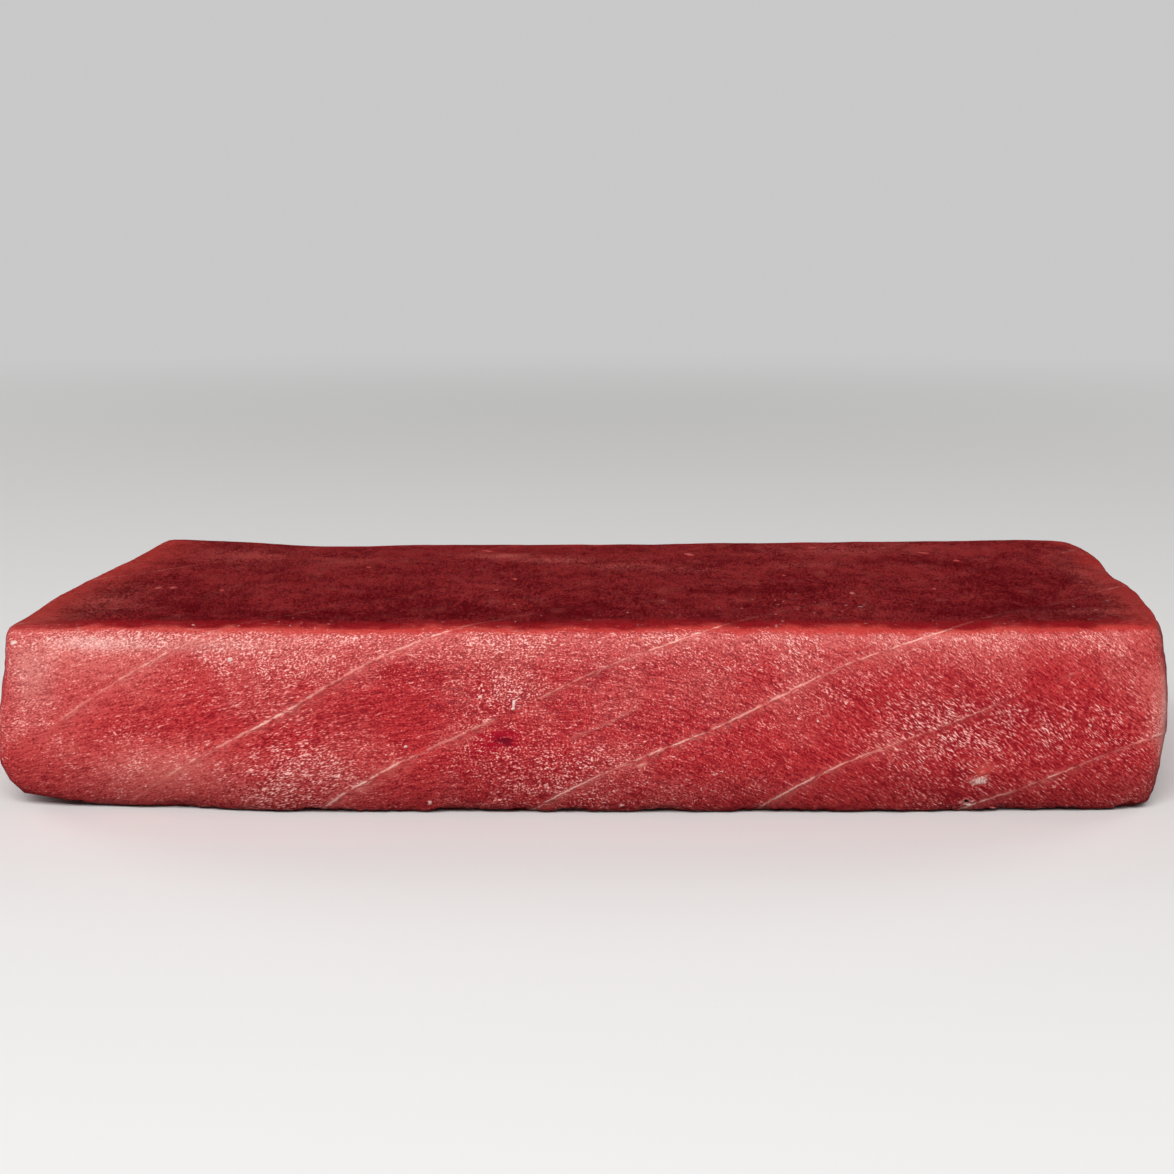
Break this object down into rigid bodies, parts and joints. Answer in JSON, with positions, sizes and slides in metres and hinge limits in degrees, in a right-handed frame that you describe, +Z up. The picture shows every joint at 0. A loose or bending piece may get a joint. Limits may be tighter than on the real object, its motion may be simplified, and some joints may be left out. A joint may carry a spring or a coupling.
{
  "type": "raw tuna steak",
  "caption": "Raw red tuna steak, hand-cut as a thick rectangular block lying flat, with fine muscle grain, pale slanting sinew lines and a moist surface.",
  "frame": {"origin": "middle of the base, on the surface the steak lies on", "axes": "+X along the long cut face, to the right as seen from the front; +Y from the front face to the back; +Z up"},
  "size_m": [0.1696, 0.085, 0.0267],
  "materials": {
    "flesh": "moist raw fish, finely grained"
  },
  "bodies": {
    "root": {"tuna_steak": "flesh"}
  },
  "joints": []
}
